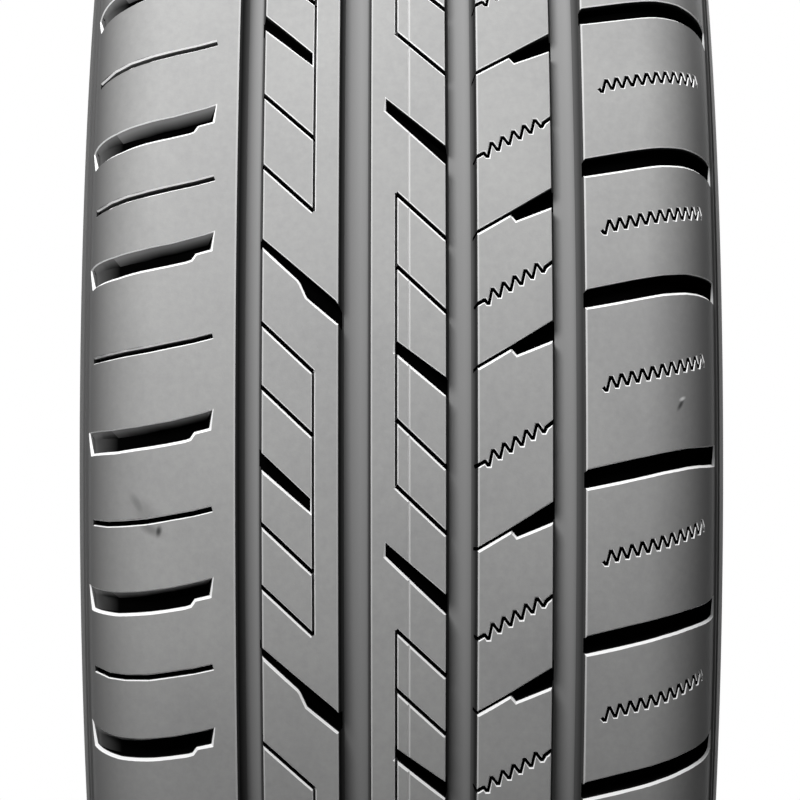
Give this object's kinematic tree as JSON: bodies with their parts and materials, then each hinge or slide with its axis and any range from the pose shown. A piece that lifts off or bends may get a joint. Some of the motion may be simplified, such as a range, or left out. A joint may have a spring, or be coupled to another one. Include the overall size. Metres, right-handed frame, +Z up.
{
  "type": "car tyre",
  "caption": "Passenger car tyre with a ribbed tread, slots over both shoulders, zigzag sipes, plain sidewalls and two bead seats for a rim.",
  "frame": {"origin": "centre of the tyre, on the axle and halfway between the beads", "axes": "+Y along the axle, to the right as the tread is seen from the front; +X to the front; +Z up"},
  "size_m": [0.632, 0.2054, 0.632],
  "materials": {
    "tread_rubber": "matte"
  },
  "bodies": {
    "root": {"tyre": "tread_rubber"}
  },
  "joints": []
}
